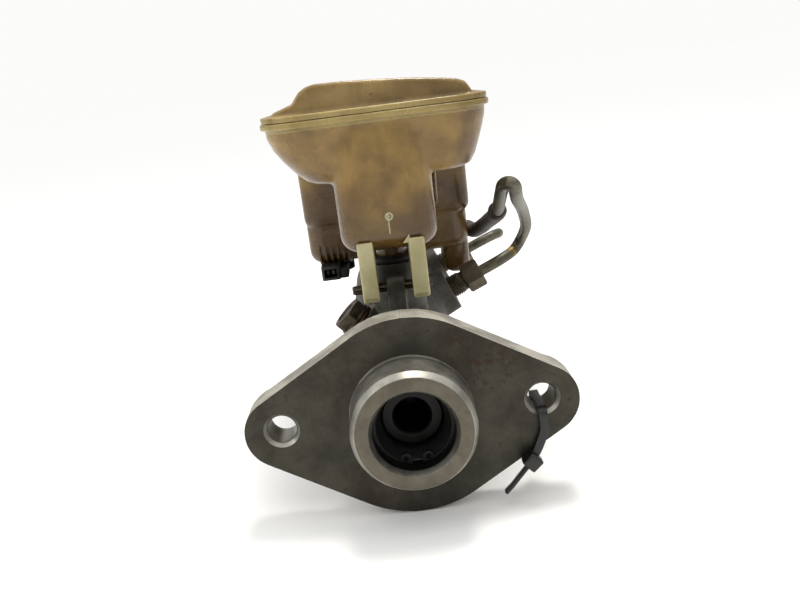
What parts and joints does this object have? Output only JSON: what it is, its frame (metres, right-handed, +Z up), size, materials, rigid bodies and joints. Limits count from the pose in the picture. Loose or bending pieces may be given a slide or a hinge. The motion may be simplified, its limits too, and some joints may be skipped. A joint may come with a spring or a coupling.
{
  "type": "brake master cylinder",
  "caption": "Tandem brake master cylinder with a two-bolt flange, a translucent fluid reservoir pinned on top, sprung pistons and looped steel brake tubes.",
  "frame": {"origin": "centre of the pilot where it meets the flange's mounting face, which is on the bore axis", "axes": "+Y along the bore, from the booster into the cylinder; +Z up, towards the reservoir; +X to the outlet side"},
  "size_m": [0.1114, 0.188, 0.1341],
  "materials": {
    "cast_aluminium": "sand-cast skin with machined faces, grey with brown stains",
    "anodised_aluminium": "dark anodised",
    "plated_steel": "zinc plating gone brown",
    "spring_steel": "bare spring steel",
    "brass": "machined",
    "soft_copper": "dull copper",
    "coated_tube": "coated steel tube, dull olive grey",
    "black_rubber": "matt",
    "black_plastic": "moulded, satin",
    "reservoir_plastic": "translucent moulding, yellowed to amber by brake fluid",
    "strainer_plastic": "natural nylon",
    "float_foam": "closed-cell foam"
  },
  "bodies": {
    "cylinder": {"cylinder_body": "cast_aluminium", "guide_bush": "black_plastic", "snap_ring": "spring_steel", "stopper_bolt": "plated_steel", "stopper_gasket": "soft_copper", "side_plug": "plated_steel", "side_plug_gasket": "soft_copper", "outlet_seat_primary": "brass", "outlet_seat_secondary": "brass", "flare_nut_primary": "plated_steel", "flare_nut_secondary": "plated_steel", "brake_tube_primary": "coated_tube", "brake_tube_secondary": "coated_tube", "tube_sleeve": "black_rubber", "reservoir_lower": "reservoir_plastic", "reservoir_upper": "reservoir_plastic", "inlet_grommet_front": "black_rubber", "inlet_grommet_rear": "black_rubber", "reservoir_pin": "plated_steel", "filler_strainer": "strainer_plastic", "level_sensor": "black_plastic", "secondary_spring": "spring_steel"},
    "primary": {"primary_piston": "anodised_aluminium", "primary_rear_seal": "black_rubber", "primary_cup": "black_rubber", "spring_bolt": "plated_steel", "primary_spring": "spring_steel"},
    "secondary": {"secondary_piston": "anodised_aluminium", "secondary_rear_cup": "black_rubber", "secondary_front_cup": "black_rubber", "spring_retainer": "plated_steel"},
    "cap_rubber": {"cap_seal": "black_rubber"},
    "cap": {"filler_cap": "black_plastic"},
    "float": {"level_float": "float_foam"},
    "tie": {"cable_tie": "black_plastic"}
  },
  "joints": [
    {"name": "primary_stroke", "type": "slide", "parent": "cylinder", "child": "primary", "axis": [0, 1, 0], "range_m": [0, 0.028], "stiffness_N_per_m": 900, "springref_m": -0.01, "deforming": ["primary_spring"]},
    {"name": "secondary_stroke", "type": "slide", "parent": "cylinder", "child": "secondary", "axis": [0, 1, 0], "range_m": [0, 0.014], "stiffness_N_per_m": 900, "springref_m": -0.01, "deforming": ["secondary_spring"]},
    {"name": "cap_rise", "type": "slide", "parent": "cylinder", "child": "cap_rubber", "axis": [0, 0, 1], "range_m": [0, 0.009]},
    {"name": "cap_turn", "type": "hinge", "parent": "cap_rubber", "child": "cap", "pos_m": [0, 0.118, 0.096], "axis": [0, 0, 1], "range_deg": [0, 540]},
    {"name": "float_rise", "type": "slide", "parent": "cylinder", "child": "float", "axis": [0, 0, 1], "range_m": [0, 0.022]},
    {"name": "tie_swing", "type": "hinge", "parent": "cylinder", "child": "tie", "pos_m": [0.0404, 0.005, 0], "axis": [0, 1, 0], "range_deg": [-35, 0]}
  ],
  "couplings": [
    {"joint": "secondary_stroke", "follows": "primary_stroke", "ratio": 0.5},
    {"joint": "cap_rise", "follows": "cap_turn", "m_per_rad": 0.00095493}
  ]
}
